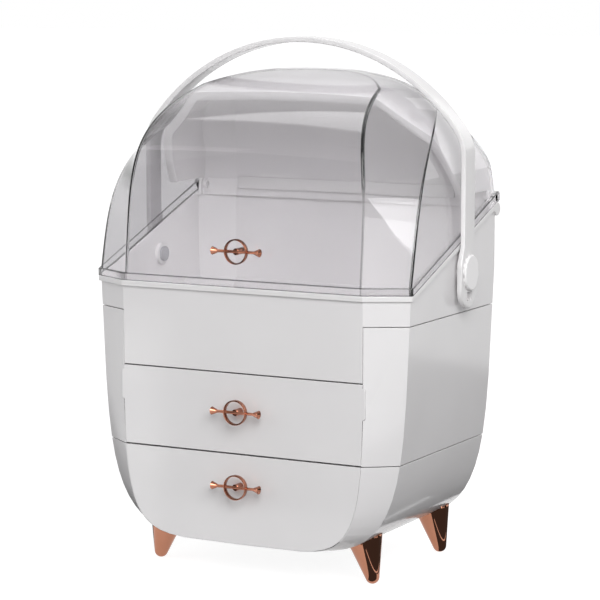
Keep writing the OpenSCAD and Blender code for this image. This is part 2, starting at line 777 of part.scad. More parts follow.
module middle_drawer_tray() color(white) {
  z0 = seam_low + wall + slide_gap / 2;
  difference() {
    translate([-tray_half, front_y + front_t, z0]) cube([2 * tray_half, tray_d, middle_tray_h]);
    translate([-tray_half + tray_wall, front_y + front_t + tray_wall, z0 + tray_wall])
      cube([2 * (tray_half - tray_wall), tray_d - 2 * tray_wall, middle_tray_h]);
    pull_hole(seam_low + middle_pull_up);
    front_screw_holes(seam_low + middle_pull_up);
  }
}

module lower_drawer_front() color(white) {
  difference() {
    intersection() {
      prism(face_outline(face_fit), front_y, front_y + front_t);
      level(0, seam_low - reveal);
    }
    pull_hole(seam_low - lower_pull_down);
    front_screw_holes(seam_low - lower_pull_down);
  }
}

module lower_drawer_tray() color(white) {
  difference() {
    intersection() {
      prism(face_outline(tray_in), front_y + front_t, front_y + front_t + tray_d);
      level(0, lower_tray_z + lower_tray_h);
    }
    prism(face_outline(tray_in + tray_wall), front_y + front_t + tray_wall,
          front_y + front_t + tray_d - tray_wall);
    pull_hole(seam_low - lower_pull_down);
    front_screw_holes(seam_low - lower_pull_down);
  }
}

module pull_hole(z) translate([0, front_y, z]) rotate([90, 0, 0])
  screw_hole(-2 * (front_t + tray_wall), over);
front_screw_x = face_w / 3;
module front_screw_holes(z) for (s = [-1, 1]) translate([s * front_screw_x, front_y + front_t, z])
  rotate([90, 0, 0]) screw_hole(-2 * tray_wall, front_t - front_skin);
module front_screws(z) color(steel) for (s = [-1, 1])
  translate([s * front_screw_x, front_y + front_t + tray_wall, z]) rotate([-90, 0, 0])
    screw(tray_wall + front_t - 1.5 * front_skin);

// ---- Pulls: a ring with a flared bar through it, on a stem ----

bar_out = pull_out - flare_d / 2;
module pull_ring(y, z) color(rose_gold) translate([0, y - bar_out - ring_depth / 2, z])
  rotate([-90, 0, 0]) difference() {
  cylinder(h = ring_depth, d = ring_d);
  translate([0, 0, -over]) cylinder(h = ring_depth + 2 * over, d = ring_d - 2 * ring_wall);
  translate([-ring_d, 0, ring_depth / 2]) rotate([0, 90, 0])
    cylinder(h = 2 * ring_d, d = bar_d + 2 * pin_gap);
}

module pull_bar(y, z) color(rose_gold) difference() {
  translate([0, y - bar_out, z]) {
    rotate([0, 90, 0]) cylinder(h = bar_l - flare_l, d = bar_d, center = true);
    for (s = [-1, 1]) rotate([0, s * 90, 0]) translate([0, 0, bar_l / 2 - flare_l])
      difference() {
        cylinder(h = flare_l, d1 = bar_d, d2 = flare_d);
        translate([0, 0, flare_l / 2]) cylinder(h = flare_l, d1 = skin, d2 = flare_d);
      }
    rotate([-90, 0, 0]) cylinder(h = bar_out, d = stem_d);
  }
  translate([0, y, z]) rotate([90, 0, 0]) screw_hole(-2 * front_t, bar_out - bar_d / 3);
}

// The screw that holds a pull, through a wall of thickness t behind y
module pull_screw(y, z, t) color(steel)
  translate([0, y + t, z]) rotate([-90, 0, 0]) screw(t + bar_out - bar_d);

// ---- Feet ----

module foot(k) color(rose_gold) {
  f = feet[k];
  base_r = foot_tip_r * cos(foot_taper);
  base_z = foot_tip_r * sin(foot_taper);
  difference() {
    translate([f[0], f[1], sqrt(pow(foot_tip_r, 2) - pow(foot_pad_r, 2))])
      rotate([0, -f[2] * foot_lean, 0]) {
        sphere(r = foot_tip_r);
        translate([0, 0, -base_z])
          cylinder(h = foot_l, r1 = base_r, r2 = base_r + foot_l * tan(foot_taper));
      }
    translate([-far, -far, -far]) cube([2 * far, 2 * far, far]);
    belly(-skin);
    translate([f[0] - f[2] * foot_screw_in, f[1], foot_h])
      screw_hole(-foot_screw_reach - over, foot_l);
  }
}

// ---- Node modules ----

module foot_front_left() foot(0);
module foot_rear_left() foot(1);
module foot_front_right() foot(2);
module foot_rear_right() foot(3);
module foot_screws() color(steel) for (f = feet)
  translate([f[0] - f[2] * foot_screw_in, f[1], foot_seat_z])
    screw(foot_seat_z - foot_h + foot_screw_reach);
module casing_screws() color(steel) for (p = posts)
  translate([p[0], p[1], seam_low + wall]) screw(wall + post_depth - screw_short);
module housing_screws() color(steel) for (p = posts)
  translate([p[0], p[1], drawer_top + wall]) screw(wall + post_depth - screw_short);
module hood_screws() color(steel) for (x = hood_screw_x)
  translate([x, hood_screw_y, hood_screw_z]) rotate([-90, 0, 0]) screw(2 * hood_wall);
module hinge_pin_left() hinge_pin(-1);
module hinge_pin_right() hinge_pin(1);
module handle_pivot_left() handle_pivot(-1);
module handle_pivot_right() handle_pivot(1);
module pivot_cap_left() pivot_cap(-1);
module pivot_cap_right() pivot_cap(1);
module middle_front_screws() front_screws(seam_low + middle_pull_up);
module middle_pull_ring() pull_ring(front_y, seam_low + middle_pull_up);
module middle_pull_bar() pull_bar(front_y, seam_low + middle_pull_up);
module middle_pull_screw() pull_screw(front_y, seam_low + middle_pull_up, front_t + tray_wall);
module lower_front_screws() front_screws(seam_low - lower_pull_down);
module lower_pull_ring() pull_ring(front_y, seam_low - lower_pull_down);
module lower_pull_bar() pull_bar(front_y, seam_low - lower_pull_down);
module lower_pull_screw() pull_screw(front_y, seam_low - lower_pull_down, front_t + tray_wall);

// The cover's front leans, so its pull sits on the face at the pull's own height
cover_face_y = front_y + cover_pull_up * tan(front_lean);
module cover_pull_ring() pull_ring(cover_face_y, rim_z + cover_pull_up);
module cover_pull_bar() difference() {
  pull_bar(cover_face_y, rim_z + cover_pull_up);
  color(rose_gold) translate([-ring_d, front_y, rim_z]) rotate([-front_lean, 0, 0])
    translate([0, -skin, -far / 2]) cube([2 * ring_d, far, far]);
}
module cover_pull_screw() pull_screw(cover_face_y, rim_z + cover_pull_up, cover_wall + touch);

lower_casing();
middle_casing();
upper_housing();
rear_hood();
foot_front_left();
foot_front_right();
foot_rear_left();
foot_rear_right();
foot_screws();
casing_screws();
housing_screws();
hood_screws();
hinge_pin_left();
hinge_pin_right();
handle_pivot_left();
handle_pivot_right();
dust_cover();
cover_pull_ring();
cover_pull_bar();
cover_pull_screw();
carry_handle();
pivot_cap_left();
pivot_cap_right();
middle_drawer_front();
middle_drawer_tray();
middle_front_screws();
middle_pull_ring();
middle_pull_bar();
middle_pull_screw();
lower_drawer_front();
lower_drawer_tray();
lower_front_screws();
lower_pull_ring();
lower_pull_bar();
lower_pull_screw();
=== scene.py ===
import bpy
import bmesh
import math
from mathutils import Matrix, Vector


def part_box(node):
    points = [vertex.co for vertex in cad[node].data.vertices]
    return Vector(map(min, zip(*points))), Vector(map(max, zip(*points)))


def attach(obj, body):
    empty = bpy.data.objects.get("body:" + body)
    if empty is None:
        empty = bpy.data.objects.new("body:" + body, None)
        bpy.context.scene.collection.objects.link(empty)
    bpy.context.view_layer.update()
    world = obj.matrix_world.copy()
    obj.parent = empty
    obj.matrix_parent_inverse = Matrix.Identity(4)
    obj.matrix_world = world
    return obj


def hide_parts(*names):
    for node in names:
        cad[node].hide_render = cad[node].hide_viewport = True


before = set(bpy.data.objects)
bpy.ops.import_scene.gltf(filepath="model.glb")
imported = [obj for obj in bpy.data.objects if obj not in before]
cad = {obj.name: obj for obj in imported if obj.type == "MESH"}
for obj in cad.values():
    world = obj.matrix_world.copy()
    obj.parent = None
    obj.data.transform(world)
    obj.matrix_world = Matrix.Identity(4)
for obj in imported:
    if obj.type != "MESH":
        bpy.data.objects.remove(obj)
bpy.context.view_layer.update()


# ---- Camera, floor and light ----
# A still-life table with a white sweep. A large soft lamp stands at the front right, and weak ones at
# the left and high above. Dark cloths and flags and bright cards, which only reflections show, give
# the glossy plastic and the plated metal their edges.
view_bearing, view_rise = math.radians(28.22), math.radians(7.61)
view_distance, lens_mm, film_mm = 2.381, 152.88, 36.0
view_target = Vector((-0.02335, 0.05719, 0.23123))
light_tint, light_strength, seen_strength = (0.99, 0.985, 1.0), 0.34, 1.0
floor_side, floor_tone, floor_roughness, floor_glow = 30, 0.32, 0.9, 0.88
cabinet_middle = (0, 0, 0.25)

toward_camera = Vector((
    math.sin(view_bearing) * math.cos(view_rise),
    -math.cos(view_bearing) * math.cos(view_rise),
    math.sin(view_rise)))
bpy.ops.object.camera_add(
    location=view_target + view_distance * toward_camera,
    rotation=(math.pi / 2 - view_rise, 0, view_bearing))
camera = bpy.context.object
camera.name = "camera"
camera.data.sensor_width = film_mm
camera.data.lens = lens_mm
bpy.context.scene.camera = camera
bpy.context.scene.view_settings.view_transform = "Standard"


def calculate(nodes, links, kind, *values):
    # one Math node: each value is a number or another node's output
    step = nodes.new("ShaderNodeMath")
    step.operation = kind
    for i, value in enumerate(values):
        if isinstance(value, (int, float)):
            step.inputs[i].default_value = value
        else:
            links.new(value, step.inputs[i])
    return step.outputs[0]


def seen_rays(nodes, links):
    # 1 for rays that show the background: from the camera, off metal and through glass
    path = nodes.new("ShaderNodeLightPath").outputs
    direct = calculate(nodes, links, "MAXIMUM", path["Is Camera Ray"], path["Is Transmission Ray"])
    return calculate(nodes, links, "MAXIMUM", direct, path["Is Glossy Ray"])


def lit(nodes, kind, color, strength):
    # an even light of one color, from a shader node that only gives light
    light = nodes.new(kind)
    light.inputs["Color"].default_value = (*color, 1)
    light.inputs["Strength"].default_value = strength
    return light.outputs[0]


def mix_shaders(nodes, links, factor, first, second, surface):
    # first where the factor is 0 and second where it is 1, led to an output node's surface
    mix = nodes.new("ShaderNodeMixShader")
    links.new(factor, mix.inputs["Fac"])
    links.new(first, mix.inputs[1])
    links.new(second, mix.inputs[2])
    links.new(mix.outputs[0], surface)


def new_paint(name):
    # a material, its nodes and links, and the Principled shader that it starts with
    paint = bpy.data.materials.new(name)
    paint.use_nodes = True
    nodes = paint.node_tree.nodes
    return paint, nodes, paint.node_tree.links, nodes["Principled BSDF"]


def new_object(name, points, edges, faces):
    mesh = bpy.data.meshes.new(name)
    mesh.from_pydata(points, edges, faces)
    piece = bpy.data.objects.new(name, mesh)
    bpy.context.collection.objects.link(piece)
    return piece


def add_world():
    # soft light from all around, and plain white where the background is seen
    world = bpy.data.worlds.new("studio")
    bpy.context.scene.world = world
    world.use_nodes = True
    nodes, links = world.node_tree.nodes, world.node_tree.links
    nodes.clear()
    surface = nodes.new("ShaderNodeOutputWorld").inputs["Surface"]
    light = lit(nodes, "ShaderNodeBackground", light_tint, light_strength)
    seen = lit(nodes, "ShaderNodeBackground", (1, 1, 1), seen_strength)
    mix_shaders(nodes, links, seen_rays(nodes, links), light, seen, surface)


def lamp(name, place, size, power, aim=cabinet_middle):
    bpy.ops.object.light_add(type="AREA", location=place)
    light = bpy.context.object
    light.name = name
    light.rotation_euler = (Vector(aim) - Vector(place)).to_track_quat("-Z", "Y").to_euler()
    light.data.shape = "RECTANGLE"
    light.data.size, light.data.size_y = size
    light.data.energy = power


def add_floor():
    # matt grey to the light, and brightened where it is seen
    bpy.ops.mesh.primitive_plane_add(size=floor_side, location=(0, 0, 0))
    floor = bpy.context.object
    floor.name = "floor"
    paint, nodes, links, matt = new_paint("floor_paint")
    matt.inputs["Base Color"].default_value = (floor_tone, floor_tone, floor_tone, 1)
    matt.inputs["Roughness"].default_value = floor_roughness
    both = nodes.new("ShaderNodeAddShader")
    links.new(matt.outputs[0], both.inputs[0])
    links.new(lit(nodes, "ShaderNodeEmission", (1, 1, 1), floor_glow), both.inputs[1])
    surface = nodes["Material Output"].inputs["Surface"]
    mix_shaders(nodes, links, seen_rays(nodes, links), matt.outputs[0], both.outputs[0], surface)
    floor.data.materials.append(paint)


add_world()
lamp("key_softbox", place=(1.50, -1.68, 1.65), size=(2.0, 1.5), power=52)
lamp("left_softbox", place=(-1.7, -1.3, 0.9), size=(1.4, 1.4), power=7)
lamp("top_softbox", place=(-0.3, 0.2, 2.2), size=(1.4, 1.2), power=12, aim=(0, 0, 0.2))
add_floor()


def studio_card(name, corners, glow):
    # a flat card or cloth that only reflections show: glow 0 is black, 1 is white, more is a lit card
    card = new_object(name, corners, [], [tuple(range(len(corners)))])
    paint, nodes, links, _ = new_paint(name)
    shine = lit(nodes, "ShaderNodeEmission", (1, 1, 1), glow)
    links.new(shine, nodes["Material Output"].inputs["Surface"])
    card.data.materials.append(paint)
    card.visible_camera = False
    card.visible_diffuse = False
    card.visible_transmission = False
    card.visible_shadow = False


def upright(bearing, distance, width, bottom, top):
    # corners of an upright card that faces the object
    side = math.radians(bearing)
    middle = Vector((math.sin(side), -math.cos(side), 0)) * distance
    along = Vector((math.cos(side), math.sin(side), 0)) * width / 2
    low, high = Vector((0, 0, bottom)), Vector((0, 0, top))
    return [middle - along + low, middle + along + low, middle + along + high, middle - along + high]


def lying(height, *plan):
    # corners of a card or cloth that lies flat
    return [(x, y, height) for x, y in plan]


cloth_z, card_z, flag_z = 0.001, 0.002, 1.5
# dark: flags at the right, overhead and at the front left, and cloths on the floor at right and front
studio_card("flag_right", upright(bearing=122, distance=1.6, width=0.7, bottom=0.0, top=1.5), glow=0.02)
studio_card("flag_over", lying(flag_z, (-0.6, -1.6), (0.5, -1.6), (0.5, -1.0), (-0.6, -1.0)), glow=0.05)
studio_card(
    "cloth_right",
    lying(cloth_z, (0.104, -0.062), (0.178, -0.402), (1.4, -0.7), (1.4, 0.875), (0.109, 0.875),
          (0.109, 0.085), (0.140, -0.050)),
    glow=0.09)
studio_card(
    "cloth_front", lying(cloth_z, (-0.36, -0.36), (0.05, -0.36), (-0.55, -2.2), (-1.5, -2.2)), glow=0.12)
studio_card("flag_front", upright(bearing=-38, distance=1.9, width=1.5, bottom=0.0, top=1.3), glow=0.10)
# bright: large cards at the front right and the right rear, and thin strips on the floor at the right
studio_card("card_front", upright(bearing=27, distance=2.7, width=2.4, bottom=0.25, top=2.6), glow=4.0)
studio_card("card_rear", upright(bearing=152, distance=1.7, width=1.2, bottom=0.5, top=1.8), glow=2.0)
studio_card(
    "strip_front", lying(card_z, (0.130, -0.11), (0.134, -0.11), (0.150, 0.0), (0.146, 0.0)), glow=1.4)
studio_card(
    "strip_rear", lying(card_z, (0.135, 0.03), (0.139, 0.03), (0.150, 0.14), (0.146, 0.14)), glow=1.4)
# on the floor at the left: a dark cloth behind a bright card
studio_card(
    "cloth_left", lying(cloth_z, (-0.120, -0.040), (-0.120, 0.60), (-1.2, 0.60), (-1.2, 0.10)), glow=0.03)
studio_card(
    "card_left", lying(card_z, (-0.16, -0.22), (-0.95, -1.53), (-1.9, -1.2), (-0.3, -0.05)), glow=1.9)


# ---- White moulded casings ----
# The two lower casings and the upper housing: injection-moulded white plastic with a gloss skin,
# stacked on each other and screwed together from inside. The mould leaves a small round on each edge.
# Sizes are in metres and angles in degrees.
shell_color, shell_roughness, plastic_ior = (0.82, 0.807, 0.812), 0.13, 1.50
shell_round, shell_crease, skin_depth = 0.00035, 16, 0.0004
round_segments, flat_weight = 2, 90
merge_reach, flat_angle = 0.00001, 0.5
panels_before_y, flat_normal_z = -0.05, 0.9


def group_start(name, inputs, outputs):
    # a shader node group with named sockets
    group = bpy.data.node_groups.new(name, "ShaderNodeTree")
    for socket, kind, value in inputs:
        item = group.interface.new_socket(socket, in_out="INPUT", socket_type=kind)
        item.default_value = value
    for socket, kind in outputs:
        group.interface.new_socket(socket, in_out="OUTPUT", socket_type=kind)
    return group, group.nodes.new("NodeGroupInput").outputs, group.nodes.new("NodeGroupOutput").inputs


def noise(nodes, links, where, scale, detail):
    cloud = nodes.new("ShaderNodeTexNoise")
    cloud.inputs["Scale"].default_value = scale
    cloud.inputs["Detail"].default_value = detail
    links.new(where, cloud.inputs["Vector"])
    return cloud.outputs["Fac"]


def spread(nodes, links, value, low=0.0, high=1.0, to_low=0.0, to_high=1.0):
    # stretches a value from low..high to to_low..to_high
    ramp = nodes.new("ShaderNodeMapRange")
    ramp.inputs["From Min"].default_value = low
    ramp.inputs["From Max"].default_value = high
    ramp.inputs["To Min"].default_value = to_low
    ramp.inputs["To Max"].default_value = to_high
    links.new(value, ramp.inputs["Value"])
    return ramp.outputs["Result"]


def mix_colors(nodes, links, factor, first, second):
    # first where the factor is 0 and second where it is 1: each is a color or another node's output
    mix = nodes.new("ShaderNodeMix")
    mix.data_type = "RGBA"
    links.new(factor, mix.inputs["Factor"])
    for socket, color in (("A", first), ("B", second)):
        if isinstance(color, tuple):
            mix.inputs[socket].default_value = (*color, 1)
        else:
            links.new(color, mix.inputs[socket])
    return mix.outputs["Result"]


def toned(nodes, links, color, value, saturation=1.0):
    change = nodes.new("ShaderNodeHueSaturation")
    change.inputs["Value"].default_value = value
    change.inputs["Saturation"].default_value = saturation
    links.new(color, change.inputs["Color"])
    return change.outputs["Color"]


def skin_group():
    # moulded plastic: slow tone changes, a painted highlight on its edges, a faint ripple and a fine grain
    # in the gloss
    color, number = "NodeSocketColor", "NodeSocketFloat"
    group, given, out = group_start(
        "moulded_skin",
        (("Color", color, (0.8, 0.8, 0.8, 1)), ("Roughness", number, 0.2), ("Tone", number, 0.03),
         ("Wear", number, 0.3)),
        (("Color", color), ("Roughness", number), ("Height", number)))
    nodes, links = group.nodes, group.links
    edge_highlight_color, dark_value = (0.86, 0.855, 0.845), 0.90
    least_gloss, slow_gloss, grain_gloss, grain_height = 0.80, 0.30, 0.10, 0.03
    where = nodes.new("ShaderNodeTexCoord").outputs["Object"]
    bent = nodes.new("ShaderNodeNewGeometry").outputs["Pointiness"]
    slow = spread(nodes, links, noise(nodes, links, where, scale=11.0, detail=2.0), low=0.35, high=0.65)
    grain = noise(nodes, links, where, scale=900.0, detail=2.0)
    ripple = noise(nodes, links, where, scale=45.0, detail=1.0)
    # painted highlight: edges that stick out, as pointiness finds them, are lightened towards a whiter
    # colour
    painted_edge_highlight = spread(nodes, links, bent, low=0.52, high=0.62)
    painted_edge_highlight = calculate(nodes, links, "MULTIPLY", painted_edge_highlight, given["Wear"])
    shift = calculate(nodes, links, "MULTIPLY", slow, given["Tone"])
    darker = toned(nodes, links, given["Color"], dark_value)
    tone = mix_colors(nodes, links, shift, given["Color"], darker)
    links.new(mix_colors(nodes, links, painted_edge_highlight, tone, edge_highlight_color), out["Color"])
    uneven = calculate(nodes, links, "MULTIPLY_ADD", slow, slow_gloss, least_gloss)
    uneven = calculate(nodes, links, "MULTIPLY_ADD", grain, grain_gloss, uneven)
    links.new(calculate(nodes, links, "MULTIPLY", uneven, given["Roughness"]), out["Roughness"])
    links.new(calculate(nodes, links, "MULTIPLY_ADD", grain, grain_height, ripple), out["Height"])
    return group


moulded_skin = skin_group()


def finished(name, group, relief, depth, **values):
    # a paint that takes its color, roughness and relief from a group, and its shader
    paint, nodes, links, shader = new_paint(name)
    finish = nodes.new("ShaderNodeGroup")
    finish.node_tree = group
    for socket, value in values.items():
        finish.inputs[socket].default_value = value
    bump = nodes.new("ShaderNodeBump")
    bump.inputs["Strength"].default_value = relief
    bump.inputs["Distance"].default_value = depth
    links.new(finish.outputs["Color"], shader.inputs["Base Color"])
    links.new(finish.outputs["Roughness"], shader.inputs["Roughness"])
    links.new(finish.outputs["Height"], bump.inputs["Height"])
    links.new(bump.outputs["Normal"], shader.inputs["Normal"])
    return paint, shader


def moulded_white(name, color, roughness, tone=0.35, highlight=0.5, relief=0.10):
    paint, shader = finished(
        name, moulded_skin, relief, skin_depth, Color=(*color, 1), Roughness=roughness, Tone=tone,
        Wear=highlight)
    shader.inputs["IOR"].default_value = plastic_ior
    return paint


def take(piece):
    # makes one piece the active and only selected one
    bpy.ops.object.select_all(action="DESELECT")
    piece.select_set(True)
    bpy.context.view_layer.objects.active = piece


def open_mesh(piece, select="SELECT"):
    # edit mode on one piece, with all of its mesh selected or none
    take(piece)
    bpy.ops.object.mode_set(mode="EDIT")
    bpy.ops.mesh.select_all(action=select)


def close_mesh():
    bpy.ops.object.mode_set(mode="OBJECT")


def apply_modifier(piece, kind, **settings):
    take(piece)
    step = piece.modifiers.new(kind.lower(), kind)
    for name, value in settings.items():
        setattr(step, name, value)
    bpy.ops.object.modifier_apply(modifier=step.name)


def round_edges(piece, width, angle=30):
    # rounds the edges that bend by more than the angle
    apply_modifier(
        piece, "BEVEL", width=width, segments=round_segments, limit_method="ANGLE",
        angle_limit=math.radians(angle), use_clamp_overlap=False, harden_normals=False)


def smooth(piece, angle):
    # smooth shading, broken at edges that bend by more than the angle
    take(piece)
    bpy.ops.object.shade_smooth_by_angle(angle=math.radians(angle))


def even_normals(piece):
    # large faces keep their own shading, and the small rounds take up the turn
    apply_modifier(piece, "WEIGHTED_NORMAL", keep_sharp=True, weight=flat_weight)


def copy_node(node, name, body, flat_panels=False):
    # a merged copy of a CAD node, which then stands for it; with flat_panels, each flat upright
    # panel at the front becomes one face, so that it shades evenly round its openings
    piece = bpy.data.objects.new(name, cad[node].data.copy())
    bpy.context.collection.objects.link(piece)
    piece.data.materials.clear()
    open_mesh(piece)
    bpy.ops.mesh.remove_doubles(threshold=merge_reach)
    if flat_panels:
        bpy.ops.mesh.select_all(action="DESELECT")
        shape = bmesh.from_edit_mesh(piece.data)
        for face in shape.faces:
            at_front = face.calc_center_median().y < panels_before_y
            face.select = at_front and abs(face.normal.z) < flat_normal_z
        bmesh.update_edit_mesh(piece.data)
        bpy.ops.mesh.dissolve_limited(angle_limit=math.radians(flat_angle))
    close_mesh()
    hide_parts(node)
    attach(piece, body)
    return piece


casing_white = moulded_white("casing_white", shell_color, shell_roughness)
for node in ("lower_casing", "middle_casing", "upper_housing"):
    shell = copy_node(node, node + "_shell", "cabinet", flat_panels=True)
    round_edges(shell, shell_round, shell_crease)
    smooth(shell, angle=40)
    even_normals(shell)
    shell.data.materials.append(casing_white)


# ---- Drawers ----
# Two slide-out drawers: a moulded front panel that closes flush with the casing, screwed to a plain
# tray of the same plastic. The middle one has a pill-shaped tab at each side.
front_swell, tray_round = 0.00015, 0.0003
front_white = moulded_white("drawer_front_white", shell_color, shell_roughness)
tray_white = moulded_white(
    "drawer_tray_white", (0.79, 0.79, 0.785), roughness=0.34, tone=0.5, highlight=0.4, relief=0.25)
for level in ("middle", "lower"):
    body = level + "_drawer"
    panel = copy_node(
        level + "_drawer_front", level + "_drawer_panel", body, flat_panels=True)
    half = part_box(level + "_drawer_front")[1][0]
    open_mesh(panel)
    bpy.ops.transform.resize(value=(1 + front_swell / half, 1, 1), center_override=(0, 0, 0))
    close_mesh()
    round_edges(panel, shell_round)
    smooth(panel, angle=40)
    even_normals(panel)
    panel.data.materials.append(front_white)
    tray = copy_node(level + "_drawer_tray", level + "_drawer_bin", body)
    round_edges(tray, tray_round)
    smooth(tray, angle=40)
    even_normals(tray)
    tray.data.materials.append(tray_white)


# ---- Rear hood ----
# The fixed rear part of the dome: one lofted white shell, 2.5 mm thick, screwed to the housing from
# inside. Its sloping mouth has a rim that stiffens it, and the cover closes over it.
# From here to the end of the dust cover, sizes are in millimetres.
mm = 0.001
rim_half, face_half, rim_z = 157.0, 120.5, 268.6
front_y, rear_y, facet_depth = -97.5, 110.5, 20.0
slope_y = front_y + facet_depth
cover_h, crown, arch_curve = 180.0, 13.0, 3.6
dome_h = cover_h - crown
front_inset, edge_taper, taper_top, taper_curve, face_share = 2.5, 24, 0.915, 4.3, 0.93
front_lean, brow_back, brow_curve = 5.2, 118, 7.9
side_edge_lean, side_edge_back, side_curve, side_least = 12.4, 160, 3.9, 3
rear_edge_inset, rear_turn_h, rear_turn_r, rear_curve = 9.5, 81, 30, 4
crest_inset, crest_side_gap, crest_face_gap = 66, 2, 6
crest_y = rear_y - crest_inset
# how finely the loft is drawn
crease_half, crease_share, crease_steps, crease_flank = 1.1, 0.2, 4, 0.5
wide_steps, front_facet_steps, side_steps, rear_facet_steps = 9, 3, 7, 2
level_count, top_share, dome_foot = 44, 0.9985, 12


def corner_in(inset, depth):
    # how far the two ends of a slanting corner panel move in when the outline shrinks by inset
    step = rim_half - face_half
    slant = math.hypot(step, depth)
    return inset * (slant - step) / depth, inset * (slant - depth) / step


def run(start, end, steps):
    # points between two others, both left out
    return [[start[i] + (end[i] - start[i]) * k / steps for i in (0, 1)] for k in range(1, steps)]


def crease(before, corner, after):
    # a softly rounded crease: a short curve with a flat point on each side
    ends = []
    for other in (before, after):
        gap = math.hypot(other[0] - corner[0], other[1] - corner[1])
        t = min(crease_half / gap, crease_share)
        ends.append([corner[i] + (other[i] - corner[i]) * t for i in (0, 1)])
    first, last = ends
    points = [[first[i] + (first[i] - corner[i]) * crease_flank for i in (0, 1)]]
    for k in range(crease_steps + 1):
        u = k / crease_steps
        points.append([
            (1 - u) ** 2 * first[i] + 2 * u * (1 - u) * corner[i] + u ** 2 * last[i] for i in (0, 1)])
    points.append([last[i] + (last[i] - corner[i]) * crease_flank for i in (0, 1)])
    return points


def dome_corners(s, inset):
    # the six corners of the right half at one level: s runs from 0 at the rim to nearly 1 at the crest
    lift = dome_h * s
    width = (rim_half - inset) * (1 - s ** arch_curve) ** (1 / arch_curve)
    face_in, side_in = corner_in(inset, facet_depth)
    rear_face_in, rear_side_in = corner_in(inset, rear_edge_inset)
    taper = face_half - front_inset - edge_taper * (s / taper_top) ** taper_curve
    face_x = min(taper - face_in, face_share * width)
    rear_x = min(taper - rear_face_in, face_share * width)
    lean = lift * math.tan(math.radians(front_lean))
    face_at = min(front_y + inset + lean + brow_back * s ** brow_curve, crest_y - crest_face_gap)
    rear_in = (crest_inset - crest_side_gap) * s ** rear_curve
    rear_at = max(rear_y - inset - rear_in, crest_y + crest_face_gap)
    turn = max(0.0, lift - rear_turn_h)
    fall = turn ** 2 / (2 * rear_turn_r) if turn < rear_turn_r else turn - rear_turn_r / 2
    back_at = max(rear_y - rear_edge_inset - rear_side_in - fall, crest_y + crest_side_gap)
    lean = lift * math.tan(math.radians(side_edge_lean))
    side_at = min(
        slope_y + side_in + lean + side_edge_back * s ** side_curve, crest_y - crest_side_gap,
        back_at - side_least)
    return (
        (0, face_at), (face_x, face_at), (width, side_at), (width, back_at), (rear_x, rear_at),
        (0, rear_at))


def crown_rise(s, x):
    # how far the crowned roof stands above the straight loft
    return crown * s ** 3 * (1 - (x / rim_half) ** 2)


def dome_ring(s, inset, drop=0.0):
    middle, face, side, back, rear, tail = dome_corners(s, inset)
    c_face, c_side = crease(middle, face, side), crease(face, side, back)
    c_back, c_rear = crease(side, back, rear), crease(back, rear, tail)
    half = [middle] + run(middle, c_face[0], wide_steps) + c_face
    half += run(c_face[-1], c_side[0], front_facet_steps) + c_side
    half += run(c_side[-1], c_back[0], side_steps) + c_back
    half += run(c_back[-1], c_rear[0], rear_facet_steps) + c_rear
    half += run(c_rear[-1], tail, wide_steps) + [tail]
    ring = half + [(-x, y) for x, y in half[-2:0:-1]]
    base = rim_z - drop + s * (dome_h - inset)
    return [(x, y, base + crown_rise(s, x)) for x, y in ring]


def ring_faces(n, count):
    # the four-sided faces between rings of n points each, numbered from the lowest ring up
    faces = []
    for ring in range(count - 1):
        for k in range(n):
            a, b = ring * n + k, ring * n + (k + 1) % n
            faces.append((a, b, b + n, a + n))
    return faces


def solid_from(name, points, faces):
    # a closed solid whose faces all point outward
    solid = new_object(name, [[v * mm for v in p] for p in points], [], faces)
    open_mesh(solid)
    bpy.ops.mesh.normals_make_consistent(inside=False)
    close_mesh()
    return solid


def dome_solid(name, inset):
    # closed loft from below the rim up to the crest
    rings = [dome_ring(0.0, inset, dome_foot)]
    for k in range(level_count + 1):
        rings.append(dome_ring(top_share * math.sin(math.pi / 2 * k / level_count), inset))
    tip = (0, crest_y, rim_z + dome_h + crown - inset)
    points = [p for ring in rings for p in ring] + [tip]
    n, tip_number = len(rings[0]), len(points) - 1
    top = tip_number - n
    faces = [list(range(n))[::-1]] + ring_faces(n, len(rings))
    faces += [(top + k, top + (k + 1) % n, tip_number) for k in range(n)]
    return solid_from(name, points, faces)


def cut(piece, point, normal):
    # takes away what lies beyond a plane and closes the cut
    open_mesh(piece)
    bpy.ops.mesh.bisect(plane_co=[v * mm for v in point], plane_no=normal, use_fill=True, clear_outer=True)
    close_mesh()


def join_solids(piece, other, kind):
    # exact union or difference with a solid that is used up by it
    apply_modifier(piece, "BOOLEAN", operation=kind, solver="EXACT", object=other)
    bpy.data.objects.remove(other)


hood_z, hood_in, hood_wall, hood_rim, hood_round = 338.62, 4.0, 2.5, 7.0, 0.3
mouth_y, mouth_lean = 36.5, math.radians(33)
mouth_normal = (0, -math.cos(mouth_lean), -math.sin(mouth_lean))
lip_half, lip_deep, lip_y, lip_root_y = face_half - 8, 9.0, 99.22, 100.47
past_foot, past_mouth = 3, 20.0


def behind_mouth(name, inset, back, foot):
    # the dome's part behind the sloping mouth and above its foot
    solid = dome_solid(name, inset)
    cut(solid, (0, mouth_y + back, hood_z), mouth_normal)
    cut(solid, (0, 0, foot), (0, 0, -1))
    return solid


def lip_bar(bottom, front):
    # a bar along the hood's rear edge, as thick as the wall
    top = hood_z + hood_wall
    bpy.ops.object.select_all(action="DESELECT")
    bpy.ops.mesh.primitive_cube_add(
        size=mm, location=(0, (front + hood_wall / 2) * mm, (top + bottom) / 2 * mm))
    bar = bpy.context.object
    open_mesh(bar)
    bpy.ops.transform.resize(value=(2 * lip_half, hood_wall, top - bottom))
    close_mesh()
    return bar


